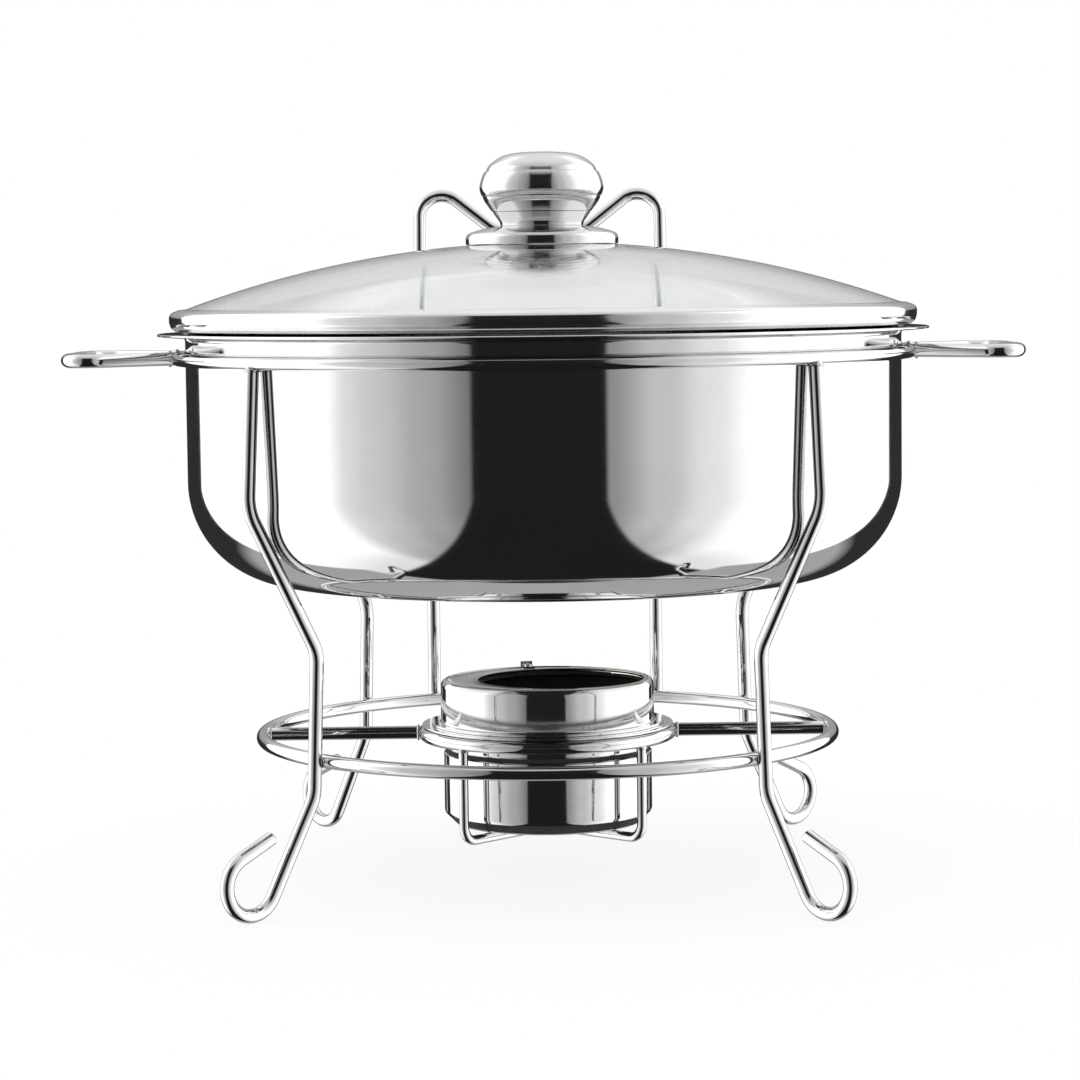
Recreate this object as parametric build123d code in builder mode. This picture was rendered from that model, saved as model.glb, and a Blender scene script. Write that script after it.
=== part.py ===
from build123d import *
import os
from math import cos, radians, sin, sqrt, tan

# Soup kettle: a deep stainless pot with a glass lid, held in a bent-wire stand over a small fuel
# burner. Millimetres, +Z up. The origin is on the pot's axis at table height, +X runs towards the
# right-hand handle and +Y towards the lid holder at the back.

# ---- driving dimensions ----
wire_r = 2.25                # stand wire, half its thickness
thin_wire_r = 1.6            # cradle wire
weld_sink = 0.3              # how far two crossing wires are pressed into each other at a weld
butt_gap = 0.9               # a butted wire ends this far short of the centre of the wire it meets
clearance = 0.3              # between pieces that lift apart

pot_r = 120.0                # outside of the pot's wall
pot_wall = 0.9
pot_corner_r = 34.0          # outside radius of the rounded bottom corner
pot_bottom_z = 100.9
flange_r = 129.2
flange_z = 183.7             # underside of the flange
mouth_r = 1.8                # rounding from the wall into the flange

ring_r = 122.8               # upper ring, to the middle of its wire
ring_z = 176.3
lower_ring_r = 96.4
lower_ring_z = 48.2
burner_ring_r = 41.7

legs_turn = -2.6             # the four legs stand turned a little against the handles
front_leg_azimuth = 44.5     # from the left-to-right line, before that turn
rear_leg_azimuth = 46.9
cradle_turn = 2.5            # of the crossed wires under the burner, the other way
leg_slope = 29.3             # of the stretch that carries the pot, from upright
leg_shoulder_r = 125.4
shoulder_bend_r = 16.0
knee_bend_r = 13.0
leg_lean = 2.5               # of the stretch from knee to ankle, outwards going down
ankle_slope = 29.9
scroll_r = 9.6
scroll_centre_r = 126.8
scroll_tip_angle = 66.0
scroll_tip = 13.6

handle_reach = 157.8         # to the middle of the wire at the handle's end
handle_root = 11.0           # half the distance between its two ends
handle_flare = 38.0          # half its width at the sharp corners, before their bends
handle_flare_back = 4.0      # those corners lie this far back from the end
handle_end = 18.0            # half the length of its straight end
handle_corner_r = 13.0

holder_foot_x = 40.8
holder_x = 45.4
holder_back_z = 177.2        # where the uprights bend back behind the flange
holder_clear_z = 183.9       # where they have cleared it
holder_clear_y = 125.4
holder_lean = 16.5
holder_shoulder_z = 242.3    # sharp corner of each shoulder, before its bend
holder_shoulder_bend_r = 8.5
holder_slope_z = 219.5
holder_slope_x = 16.5
holder_valley_z = 217.5
holder_valley_bend_r = 12.0
holder_step_bend_r = 4.0

lid_sphere_r = 349.0         # outside of the glass dome
lid_top_z = 213.8
glass_thick = 3.6
glass_r = 122.2
glass_hole_r = 4.0
rim_r = 125.2
rim_lip = 3.8                # how far the band reaches in over the glass
rim_sheet = 0.6
rim_gap = 0.6                # between the band and the flange it sits on
rim_skirt_r = 118.4
rim_skirt_z = 178.9

gasket_thick = 1.0
gasket_play = 0.2            # squeezed out of the lower gasket where it meets the dome
upper_gasket_r = 12.0
lower_gasket_r = 11.0
collar_r = 25.7
collar_shoulder_z = 215.8    # top of its upright edge
collar_top_r = 15.3
collar_top_z = 219.0
collar_sheet = 0.8
knob_r = 20.8
knob_seam_r = 20.1
knob_seam_z = 229.3
knob_widest_z = 231.8
knob_neck_r = 13.9
knob_step_r = 19.2           # fine step round the crown
knob_step_z = 237.4
knob_top_z = 244.0
knob_sheet = 0.8
insert_r = 6.5
screw_r = 2.5
screw_head_r = 5.0
washer_r = 10.0
washer_thick = 1.0

cup_r = 35.3
cup_bottom_z = 17.5
cup_corner_r = 4.0
cup_sheet = 0.7
cup_flange_r = 42.6
pad_tall = 27.0
cover_r = 36.2
cover_top_z = 66.3
cover_sheet = 0.8
cover_brim = 3.2
cover_shoulder_r = 1.5
recess_r = 34.4              # shallow seat of the regulator disc in the cover's top
recess_deep = 0.9
disc_gap = 0.15
disc_thick = 0.6
disc_play = 0.25             # between the disc's edge and its seat
burner_mouth_r = 28.2
burner_mouth_x = 4.7         # the mouth is off centre, towards the right
lever_azimuth = 102.2
lever_wide = 4.0
lever_tall = 2.2
lever_sheet = 0.8
lever_start_r = 28.2
lever_upright_r = 32.6
rivet_r = 1.3
rivet_tall = 0.7

# ---- worked-out positions ----
corner_x = pot_r - pot_corner_r
corner_z = pot_bottom_z + pot_corner_r
leg_r = lower_ring_r + 2 * wire_r - weld_sink
holder_ring_r = ring_r + 2 * wire_r - weld_sink
sphere_z = lid_top_z - lid_sphere_r
burner_seat_z = lower_ring_z + wire_r + clearance / 2
flange_top_z = flange_z + pot_wall
gasket_low_z = lid_top_z - glass_thick - gasket_thick - gasket_play
thread_top_z = knob_top_z - 9.0
washer_low_z = gasket_low_z - washer_thick
cover_foot_z = burner_seat_z + cup_sheet
disc_z = cover_top_z - recess_deep + disc_gap
disc_top_z = disc_z + disc_thick

os.makedirs("parts", exist_ok=True)


def save(builder, name):
    """Label the finished sub-part and write it to its own file."""
    builder.part.label = name
    export_step(builder.part, f"parts/{name}.step")


def radial_plane(azimuth):
    """Upright plane through the axis: local x runs outward at the azimuth, local y runs up."""
    turn = radians(azimuth)
    return Plane(origin=(0, 0, 0), x_dir=(cos(turn), sin(turn), 0), z_dir=(sin(turn), -cos(turn), 0))


def slope_height(radius):
    """Height at a radius of the wire slope that lies against the pot's bottom corner."""
    slope = radians(leg_slope)
    stand_off = pot_corner_r + wire_r + clearance
    return corner_z - (stand_off - (radius - corner_x) * cos(slope)) / sin(slope)


def dome_height(radius, depth=0.0):
    """Height of the glass at a radius, on its outside or a depth below it."""
    return sphere_z + sqrt((lid_sphere_r - depth) ** 2 - radius**2)


# ---- stand ----
def build_ring(name, radius, height):
    with BuildPart() as ring:
        with BuildSketch(Plane.XZ):
            with Locations((radius, height)):
                Circle(wire_r)
        revolve(axis=Axis.Z)
    save(ring, name)
    return ring.part


def build_leg(name, azimuth, upper, lower):
    """One bent wire: from under the upper ring, in along the pot's corner, down and out to a scroll."""
    slope = tan(radians(leg_slope))
    lean = tan(radians(leg_lean))
    ankle = radians(ankle_slope)
    # the lower stretch passes the lower ring at leg_r and meets the slope above it at the knee
    knee_rise = (slope_height(leg_r) - lower_ring_z) * slope / (slope + lean)
    knee_r = leg_r - knee_rise * lean
    scroll_z = scroll_r + wire_r
    touch_r = scroll_centre_r - scroll_r * cos(ankle)
    touch_z = scroll_z - scroll_r * sin(ankle)
    # the ankle is where the lower stretch meets the line that runs down to the scroll
    ankle_drop = (touch_r - leg_r - (lower_ring_z - touch_z) * tan(ankle)) / (lean - tan(ankle))
    ankle_r = leg_r + ankle_drop * lean
    ankle_z = lower_ring_z - ankle_drop
    with BuildPart() as leg:
        with BuildLine(radial_plane(azimuth)) as path:
            FilletPolyline(
                (ring_r, ring_z - butt_gap),
                (leg_shoulder_r, slope_height(leg_shoulder_r)),
                (knee_r, lower_ring_z + knee_rise),
                (ankle_r, ankle_z),
                (touch_r, touch_z),
                radius=[shoulder_bend_r, knee_bend_r, knee_bend_r],
            )
            scroll = CenterArc(
                (scroll_centre_r, scroll_z), scroll_r, 180 + ankle_slope, 180 + scroll_tip_angle - ankle_slope
            )
            Line(scroll @ 1, scroll @ 1 + scroll_tip * (scroll % 1))
        with BuildSketch(Plane(origin=path.wire() @ 0, z_dir=path.wire() % 0)):
            Circle(wire_r)
        sweep(path=path.wire())
        add(upper, mode=Mode.SUBTRACT)
        add(lower, mode=Mode.SUBTRACT)
    save(leg, name)


def build_handle(name, side, upper):
    """Flat wire loop welded to the outside of the upper ring; side is +1 on the right, -1 on the left."""
    root_x = sqrt((ring_r + butt_gap) ** 2 - handle_root**2)
    flare_x = handle_reach - handle_flare_back
    with BuildPart() as handle:
        with BuildLine(Plane.XY.offset(ring_z)) as path:
            FilletPolyline(
                (side * root_x, -handle_root),
                (side * flare_x, -handle_flare),
                (side * handle_reach, -handle_end),
                (side * handle_reach, handle_end),
                (side * flare_x, handle_flare),
                (side * root_x, handle_root),
                radius=[handle_corner_r / 2, handle_corner_r, handle_corner_r, handle_corner_r / 2],
            )
        with BuildSketch(Plane(origin=path.wire() @ 0, z_dir=path.wire() % 0)):
            Circle(wire_r)
        sweep(path=path.wire())
        add(upper, mode=Mode.SUBTRACT)
    save(handle, name)


def build_lid_holder(upper, lower):
    """One wire behind the pot: two uprights, joined above the lid by two shoulders and a valley."""
    foot_y = sqrt(leg_r**2 - holder_foot_x**2)
    ring_y = sqrt(holder_ring_r**2 - holder_x**2)
    knee_z = slope_height(leg_r)
    hip_z = slope_height(holder_ring_r)
    lean = tan(radians(holder_lean))

    def lean_y(height):
        return holder_clear_y + (height - holder_clear_z) * lean

    right_half = [
        (holder_foot_x, foot_y, lower_ring_z - wire_r),
        (holder_foot_x, foot_y, knee_z),
        (holder_x, ring_y, hip_z),
        (holder_x, ring_y, holder_back_z),
        (holder_x, holder_clear_y, holder_clear_z),
        (holder_x, lean_y(holder_shoulder_z), holder_shoulder_z),
        (holder_slope_x, lean_y(holder_slope_z), holder_slope_z),
    ]
    valley = (0, lean_y(holder_valley_z), holder_valley_z)
    left_half = [(-x, y, z) for x, y, z in reversed(right_half)]
    half_radii = [
        knee_bend_r,
        shoulder_bend_r,
        holder_step_bend_r,
        holder_step_bend_r,
        holder_shoulder_bend_r,
        holder_valley_bend_r,
    ]
    radii = [*half_radii, holder_valley_bend_r, *reversed(half_radii)]
    with BuildPart() as holder:
        with BuildLine() as path:
            FilletPolyline(*right_half, valley, *left_half, radius=radii)
        with BuildSketch(Plane(origin=path.wire() @ 0, z_dir=path.wire() % 0)):
            Circle(wire_r)
        sweep(path=path.wire())
        add(upper, mode=Mode.SUBTRACT)
        add(lower, mode=Mode.SUBTRACT)
    save(holder, "lid_holder")


def build_burner_bar(name, side, lower, seat):
    """Straight wire from the lower ring to the burner ring."""
    with BuildPart() as bar:
        with BuildSketch(Plane.YZ.offset(side * (burner_ring_r + butt_gap))):
            with Locations((0, lower_ring_z)):
                Circle(wire_r)
        extrude(amount=side * (lower_ring_r - burner_ring_r - 2 * butt_gap))
        add(lower, mode=Mode.SUBTRACT)
        add(seat, mode=Mode.SUBTRACT)
    save(bar, name)


def build_cradle(seat):
    """Two crossed thin wires under the burner ring: one whole, one in two halves welded to it."""
    floor_z = cup_bottom_z - clearance - thin_wire_r
    top_z = lower_ring_z - butt_gap
    bend_r = 5.0
    with BuildPart() as whole:
        with BuildLine(radial_plane(cradle_turn - 45)) as path:
            FilletPolyline(
                (-burner_ring_r, top_z),
                (-burner_ring_r, floor_z),
                (burner_ring_r, floor_z),
                (burner_ring_r, top_z),
                radius=bend_r,
            )
        with BuildSketch(Plane(origin=path.wire() @ 0, z_dir=path.wire() % 0)):
            Circle(thin_wire_r)
        sweep(path=path.wire())
        add(seat, mode=Mode.SUBTRACT)
    save(whole, "cradle_wire")
    halves = []
    for azimuth in (cradle_turn + 45, cradle_turn + 225):
        with BuildPart() as half:
            with BuildLine(radial_plane(azimuth)) as half_path:
                FilletPolyline(
                    (burner_ring_r, top_z),
                    (burner_ring_r, floor_z),
                    (butt_gap, floor_z),
                    radius=bend_r,
                )
            with BuildSketch(Plane(origin=half_path.wire() @ 0, z_dir=half_path.wire() % 0)):
                Circle(thin_wire_r)
            sweep(path=half_path.wire())
            add(seat, mode=Mode.SUBTRACT)
            add(whole.part, mode=Mode.SUBTRACT)
        halves.append(half.part)
    with BuildPart() as side_wires:
        add(halves)
    save(side_wires, "cradle_side_wires")


# ---- pot ----
def build_pot():
    with BuildPart() as pot:
        with BuildSketch(Plane.XZ):
            with BuildLine():
                base = Line((0, pot_bottom_z), (corner_x, pot_bottom_z))
                corner = JernArc(base @ 1, base % 1, pot_corner_r, 90)
                wall = Line(corner @ 1, (pot_r, flange_z - mouth_r))
                mouth = JernArc(wall @ 1, wall % 1, mouth_r, -90)
                edge = Line(mouth @ 1, (flange_r, flange_z))
                lip = Line(edge @ 1, (flange_r, flange_top_z))
                inner_edge = Line(lip @ 1, (pot_r + mouth_r, flange_top_z))
                inner_mouth = JernArc(inner_edge @ 1, inner_edge % 1, mouth_r + pot_wall, 90)
                inner_wall = Line(inner_mouth @ 1, (pot_r - pot_wall, corner_z))
                inner_corner = JernArc(inner_wall @ 1, inner_wall % 1, pot_corner_r - pot_wall, -90)
                inner_base = Line(inner_corner @ 1, (0, pot_bottom_z + pot_wall))
                Line(inner_base @ 1, base @ 0)
            make_face()
        revolve(axis=Axis.Z)
        flange_corners = pot.edges().filter_by(GeomType.CIRCLE).group_by(SortBy.RADIUS)[-1]
        fillet(flange_corners, radius=0.3)
    save(pot, "pot_shell")


# ---- lid ----
def build_lid_glass():
    middle_r = glass_r / 2
    with BuildPart() as glass:
        with BuildSketch(Plane.XZ):
            with BuildLine():
                top = ThreePointArc(
                    (glass_hole_r, dome_height(glass_hole_r)),
                    (middle_r, dome_height(middle_r)),
                    (glass_r, dome_height(glass_r)),
                )
                side = Line(top @ 1, (glass_r, dome_height(glass_r, glass_thick)))
                under = ThreePointArc(
                    side @ 1,
                    (middle_r, dome_height(middle_r, glass_thick)),
                    (glass_hole_r, dome_height(glass_hole_r, glass_thick)),
                )
                Line(under @ 1, top @ 0)
            make_face()
        revolve(axis=Axis.Z)
    save(glass, "lid_glass")
    return glass.part


def build_lid_rim(glass):
    """Steel band rolled round the edge of the glass, with a tapered seat and a skirt inside the pot."""
    seat_z = flange_top_z + rim_gap
    lip_r = rim_r - rim_lip
    edge_z = dome_height(rim_r)
    with BuildPart() as rim:
        with BuildSketch(Plane.XZ):
            with BuildLine():
                lip = Line((lip_r, dome_height(lip_r) + rim_sheet), (rim_r - 2.0, edge_z + 1.35))
                bead = ThreePointArc(lip @ 1, (rim_r - 0.5, edge_z + 0.45), (rim_r, edge_z - 0.9))
                band = Line(bead @ 1, (rim_r, seat_z + 3.1))
                heel = ThreePointArc(band @ 1, (rim_r - 0.6, seat_z + 1.3), (rim_r - 2.2, seat_z))
                flank = Line(heel @ 1, (rim_skirt_r + 1.2, seat_z))
                turn = ThreePointArc(flank @ 1, (rim_skirt_r + 0.35, seat_z - 0.5), (rim_skirt_r, seat_z - 2.0))
                skirt = Line(turn @ 1, (rim_skirt_r, rim_skirt_z))
                hem = Line(skirt @ 1, (rim_skirt_r - rim_sheet, rim_skirt_z))
                back = Line(hem @ 1, (rim_skirt_r - rim_sheet, seat_z))
                shelf = Line(back @ 1, (rim_skirt_r + 0.2, dome_height(rim_skirt_r, glass_thick) + 1.0))
                Line(shelf @ 1, lip @ 0)
            make_face()
        revolve(axis=Axis.Z)
        add(glass, mode=Mode.SUBTRACT)
    save(rim, "lid_rim")


def build_gasket(name, radius, low_z, high_z, glass):
    """Soft washer round the screw, flat on one side and pressed to the dome on the other."""
    with BuildPart() as gasket:
        with BuildSketch(Plane.XY.offset(low_z)):
            Circle(radius)
            Circle(glass_hole_r, mode=Mode.SUBTRACT)
        extrude(amount=high_z - low_z)
        add(glass, mode=Mode.SUBTRACT)
    save(gasket, name)


def build_collar():
    """Steel dish between the glass and the knob's neck: an upright edge and a low slope."""
    foot_z = dome_height(collar_r) + 0.15
    inner_r = collar_r - collar_sheet
    with BuildPart() as collar:
        with BuildSketch(Plane.XZ):
            with BuildLine():
                edge = Line((collar_r, foot_z), (collar_r, collar_shoulder_z))
                slope = Spline(
                    edge @ 1,
                    (collar_r - 1.4, collar_shoulder_z + 1.4),
                    (collar_r - 5.7, collar_top_z - 0.7),
                    (collar_top_r, collar_top_z),
                    tangents=[(0, 1), (-1, 0)],
                )
                top = Line(slope @ 1, (screw_r, collar_top_z))
                hole = Line(top @ 1, (screw_r, collar_top_z - collar_sheet))
                under = Line(hole @ 1, (collar_top_r, collar_top_z - collar_sheet))
                inside = Spline(
                    under @ 1,
                    (collar_r - 6.0, collar_top_z - 0.7 - collar_sheet),
                    (inner_r - 1.2, collar_shoulder_z + 0.6),
                    (inner_r, collar_shoulder_z - 0.6),
                    tangents=[(1, 0), (0, -1)],
                )
                back = Line(inside @ 1, (inner_r, foot_z))
                Line(back @ 1, edge @ 0)
            make_face()
        revolve(axis=Axis.Z)
    save(collar, "knob_collar")


def build_knob_body():
    """Lower shell of the hollow knob: a flat base, a waisted neck and the flare up to the seam."""
    base_z = collar_top_z
    with BuildPart() as body:
        with BuildSketch(Plane.XZ):
            with BuildLine():
                flare = Spline(
                    (knob_neck_r, base_z),
                    (knob_neck_r + 1.2, base_z + 2.9),
                    (knob_neck_r + 3.2, base_z + 5.6),
                    (knob_seam_r, knob_seam_z),
                    tangents=[(0, 1), (0.45, 1)],
                )
                seam = Line(flare @ 1, (knob_seam_r - knob_sheet, knob_seam_z))
                inside = Spline(
                    seam @ 1,
                    (knob_neck_r + 2.4, base_z + 6.0),
                    (knob_neck_r + 0.3, base_z + 3.2),
                    (knob_neck_r - knob_sheet, base_z + knob_sheet),
                    tangents=[(-0.45, -1), (0, -1)],
                )
                floor = Line(inside @ 1, (screw_r, base_z + knob_sheet))
                hole = Line(floor @ 1, (screw_r, base_z))
                Line(hole @ 1, flare @ 0)
            make_face()
        revolve(axis=Axis.Z)
    save(body, "knob_body")


def build_knob_cap():
    """Upper shell of the hollow knob, with a fine step round its crown."""
    with BuildPart() as cap:
        with BuildSketch(Plane.XZ):
            with BuildLine():
                side = Spline(
                    (knob_seam_r, knob_seam_z),
                    (knob_r, knob_widest_z),
                    (knob_step_r, knob_step_z),
                    tangents=[(0.45, 1), (-0.5, 1)],
                )
                step = Line(side @ 1, (knob_step_r - 0.5, knob_step_z))
                crown = Spline(
                    step @ 1,
                    (knob_step_r - 3.6, knob_top_z - 2.8),
                    (0, knob_top_z),
                    tangents=[(-0.4, 1), (-1, 0)],
                )
                axis = Line(crown @ 1, (0, knob_top_z - knob_sheet))
                inner_crown = Spline(
                    axis @ 1,
                    (knob_step_r - 4.3, knob_top_z - 3.6),
                    (knob_step_r - 1.6, knob_step_z - 0.3),
                    tangents=[(1, 0), (0.6, -1)],
                )
                inner_side = Spline(
                    inner_crown @ 1,
                    (knob_r - knob_sheet, knob_widest_z),
                    (knob_seam_r - knob_sheet, knob_seam_z),
                    tangents=[(0.6, -1), (-0.45, -1)],
                )
                Line(inner_side @ 1, side @ 0)
            make_face()
        revolve(axis=Axis.Z)
    save(cap, "knob_cap")


def build_knob_insert():
    """Moulded core inside the knob that the lid screw is driven into."""
    base_z = collar_top_z + knob_sheet
    foot_r = knob_neck_r - 2.0
    insert_top_z = knob_top_z - 4.0
    with BuildPart() as insert:
        with BuildSketch(Plane.XZ):
            with BuildLine():
                Polyline(
                    (screw_r, base_z),
                    (foot_r, base_z),
                    (foot_r, base_z + 2.0),
                    (insert_r, base_z + 5.0),
                    (insert_r, insert_top_z),
                    (0, insert_top_z),
                    (0, thread_top_z),
                    (screw_r, thread_top_z),
                    close=True,
                )
            make_face()
        revolve(axis=Axis.Z)
    save(insert, "knob_insert")


def build_lid_fixing():
    """Flat washer and pan-head screw under the glass, driven up into the knob."""
    head_tall = 3.0
    slot_long = 7.0
    slot_wide = 1.1
    slot_deep = 1.6
    head_low_z = washer_low_z - head_tall
    with BuildPart() as washer:
        with BuildSketch(Plane.XY.offset(washer_low_z)):
            Circle(washer_r)
            Circle(screw_r, mode=Mode.SUBTRACT)
        extrude(amount=washer_thick)
    save(washer, "knob_washer")
    with BuildPart() as screw:
        with BuildSketch(Plane.XY.offset(head_low_z)):
            Circle(screw_head_r)
        extrude(amount=head_tall)
        fillet(screw.edges().group_by(Axis.Z)[0], radius=1.8)
        with BuildSketch(Plane.XY.offset(head_low_z)):
            Rectangle(slot_long, slot_wide)
            Rectangle(slot_wide, slot_long)
        extrude(amount=slot_deep, mode=Mode.SUBTRACT)
        with BuildSketch(Plane.XY.offset(washer_low_z)):
            Circle(screw_r)
        extrude(amount=thread_top_z - 1.0 - washer_low_z)
    save(screw, "knob_screw")


# ---- burner ----
def build_fuel_cup():
    turn_r = 1.0
    with BuildPart() as cup:
        with BuildSketch(Plane.XZ):
            with BuildLine():
                base = Line((0, cup_bottom_z), (cup_r - cup_corner_r, cup_bottom_z))
                corner = JernArc(base @ 1, base % 1, cup_corner_r, 90)
                wall = Line(corner @ 1, (cup_r, burner_seat_z - turn_r))
                turn = JernArc(wall @ 1, wall % 1, turn_r, -90)
                edge = Line(turn @ 1, (cup_flange_r, burner_seat_z))
                lip = Line(edge @ 1, (cup_flange_r, cover_foot_z))
                inner_edge = Line(lip @ 1, (cup_r + turn_r, cover_foot_z))
                inner_turn = JernArc(inner_edge @ 1, inner_edge % 1, turn_r + cup_sheet, 90)
                inner_wall = Line(inner_turn @ 1, (cup_r - cup_sheet, cup_bottom_z + cup_corner_r))
                inner_corner = JernArc(inner_wall @ 1, inner_wall % 1, cup_corner_r - cup_sheet, -90)
                inner_base = Line(inner_corner @ 1, (0, cup_bottom_z + cup_sheet))
                Line(inner_base @ 1, base @ 0)
            make_face()
        revolve(axis=Axis.Z)
    save(cup, "fuel_cup")


def build_wick_pad():
    pad_z = cup_bottom_z + cup_sheet
    with BuildPart() as pad:
        with BuildSketch(Plane.XY.offset(pad_z)):
            Circle(cup_r - cup_sheet - 0.2)
        extrude(amount=pad_tall)
        fillet(pad.edges().group_by(Axis.Z)[0], radius=cup_corner_r)
        fillet(pad.edges().group_by(Axis.Z)[-1], radius=1.5)
    save(pad, "wick_pad")


def build_burner_cover():
    """Drum that stands on the cup's flange, with an off-centre mouth in its sunk top."""
    brim_r = cover_r + cover_brim
    sunk_z = cover_top_z - recess_deep
    with BuildPart() as cover:
        with BuildSketch(Plane.XZ):
            with BuildLine():
                Polyline(
                    (cover_r - cover_sheet, cover_foot_z),
                    (brim_r, cover_foot_z),
                    (brim_r, cover_foot_z + cover_sheet),
                    (cover_r, cover_foot_z + cover_sheet),
                    (cover_r, cover_top_z),
                    (recess_r, cover_top_z),
                    (recess_r, sunk_z),
                    (0, sunk_z),
                    (0, sunk_z - cover_sheet),
                    (cover_r - cover_sheet, sunk_z - cover_sheet),
                    close=True,
                )
            make_face()
        revolve(axis=Axis.Z)
        with BuildSketch(Plane.XY.offset(cover_top_z)):
            with Locations((burner_mouth_x, 0)):
                Circle(burner_mouth_r)
        extrude(amount=4.0, both=True, mode=Mode.SUBTRACT)
        rounded = cover.edges().filter_by(GeomType.CIRCLE)
        top_edge = rounded.filter_by(lambda edge: abs(edge.radius - cover_r) < 0.01).sort_by(Axis.Z)[-1]
        fillet(top_edge, radius=cover_shoulder_r)
    save(cover, "burner_cover")


def build_regulator():
    """Disc that turns in the cover's seat and closes off its mouth, with a riveted thumb lever."""
    with BuildPart() as disc:
        with BuildSketch(Plane.XY.offset(disc_z)):
            Circle(recess_r - disc_play)
            with Locations((burner_mouth_x, 0)):
                Circle(burner_mouth_r, mode=Mode.SUBTRACT)
        extrude(amount=disc_thick)
    save(disc, "regulator_disc")

    outer_r = lever_upright_r + lever_sheet
    with BuildPart() as lever:
        with BuildSketch(radial_plane(lever_azimuth)):
            with BuildLine():
                Polyline(
                    (lever_start_r, disc_top_z),
                    (outer_r, disc_top_z),
                    (outer_r, disc_top_z + lever_tall),
                    (lever_upright_r, disc_top_z + lever_tall),
                    (lever_upright_r, disc_top_z + lever_sheet),
                    (lever_start_r, disc_top_z + lever_sheet),
                    close=True,
                )
            make_face()
        extrude(amount=lever_wide / 2, both=True)
        tip_edges = lever.edges().filter_by(lambda edge: abs(edge.length - lever_sheet) < 0.01)
        fillet(tip_edges.group_by(Axis.Z)[-1], radius=0.9)
    save(lever, "regulator_lever")

    turn = radians(lever_azimuth)
    middle_r = (lever_start_r + lever_upright_r) / 2
    with BuildPart() as rivet:
        with BuildSketch(Plane.XY.offset(disc_top_z + lever_sheet)):
            with Locations((middle_r * cos(turn), middle_r * sin(turn))):
                Circle(rivet_r)
        extrude(amount=rivet_tall)
        fillet(rivet.edges().group_by(Axis.Z)[-1], radius=0.5)
    save(rivet, "lever_rivet")


upper_ring = build_ring("upper_ring", ring_r, ring_z)
lower_ring = build_ring("lower_ring", lower_ring_r, lower_ring_z)
burner_ring = build_ring("burner_ring", burner_ring_r, lower_ring_z)
build_leg("leg_front_right", legs_turn - front_leg_azimuth, upper_ring, lower_ring)
build_leg("leg_front_left", legs_turn + 180 + front_leg_azimuth, upper_ring, lower_ring)
build_leg("leg_rear_right", legs_turn + rear_leg_azimuth, upper_ring, lower_ring)
build_leg("leg_rear_left", legs_turn + 180 - rear_leg_azimuth, upper_ring, lower_ring)
build_handle("handle_right", 1, upper_ring)
build_handle("handle_left", -1, upper_ring)
build_lid_holder(upper_ring, lower_ring)
build_burner_bar("burner_bar_right", 1, lower_ring, burner_ring)
build_burner_bar("burner_bar_left", -1, lower_ring, burner_ring)
build_cradle(burner_ring)
build_pot()
lid_glass = build_lid_glass()
build_lid_rim(lid_glass)
build_gasket("gasket_upper", upper_gasket_r, lid_top_z - 0.5, collar_top_z - collar_sheet, lid_glass)
build_gasket("gasket_lower", lower_gasket_r, gasket_low_z, lid_top_z - glass_thick, lid_glass)
build_collar()
build_knob_body()
build_knob_cap()
build_knob_insert()
build_lid_fixing()
build_fuel_cup()
build_wick_pad()
build_burner_cover()
build_regulator()
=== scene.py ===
from math import ceil, cos, pi, radians, sin, sqrt, tan

import bmesh
import bpy
from mathutils import Matrix, Vector, noise


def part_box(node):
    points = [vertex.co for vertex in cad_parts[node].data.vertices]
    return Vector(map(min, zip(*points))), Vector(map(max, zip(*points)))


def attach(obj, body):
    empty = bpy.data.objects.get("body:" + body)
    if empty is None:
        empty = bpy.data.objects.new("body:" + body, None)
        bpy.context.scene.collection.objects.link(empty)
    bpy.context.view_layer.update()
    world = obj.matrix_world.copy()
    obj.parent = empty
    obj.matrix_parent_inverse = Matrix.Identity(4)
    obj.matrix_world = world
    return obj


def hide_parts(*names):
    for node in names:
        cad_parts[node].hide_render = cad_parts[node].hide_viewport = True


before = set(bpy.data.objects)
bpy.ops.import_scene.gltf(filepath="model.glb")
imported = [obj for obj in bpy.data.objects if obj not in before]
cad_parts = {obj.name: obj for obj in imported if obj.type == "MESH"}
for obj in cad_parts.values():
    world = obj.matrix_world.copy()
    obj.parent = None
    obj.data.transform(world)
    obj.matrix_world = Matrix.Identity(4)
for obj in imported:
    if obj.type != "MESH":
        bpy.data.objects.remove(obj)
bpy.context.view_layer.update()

# ======== Sizes. Lengths are in millimetres until a mesh is made; places come from the frame's own boxes.
MM = 0.001


def low(node):
    """Lowest corner of a CAD node, in millimetres."""
    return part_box(node)[0] / MM


def high(node):
    """Highest corner of a CAD node, in millimetres."""
    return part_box(node)[1] / MM


wire_r = (high("upper_ring").z - low("upper_ring").z) / 2
thin_wire_r = 1.6
weld_sink = 0.3          # how far two crossing wires are pressed into each other
butt_gap = 0.9           # a butted wire ends this far short of the middle of the wire it meets
weld_bite = 0.1          # how far a weld reaches into the wire it sits on
crossing_weld_sizes = (0.9, 2.0)
butt_weld_thick = 0.55
bar_weld_thick = 0.5
cradle_weld_thick = 0.45
cross_weld_thick = 0.4

ring_r = high("upper_ring").x - wire_r
ring_z = low("upper_ring").z + wire_r
lower_ring_r = high("lower_ring").x - wire_r
lower_ring_z = low("lower_ring").z + wire_r
burner_ring_r = high("burner_ring").x - wire_r

pot_r = 120.0
pot_wall = 0.9
pot_corner_r = 34.0
pot_bottom_z = low("pot_shell").z
flange_r = high("pot_shell").x
flange_top_z = high("pot_shell").z
mouth_r = 1.8
corner_x = pot_r - pot_corner_r
corner_z = pot_bottom_z + pot_corner_r

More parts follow.
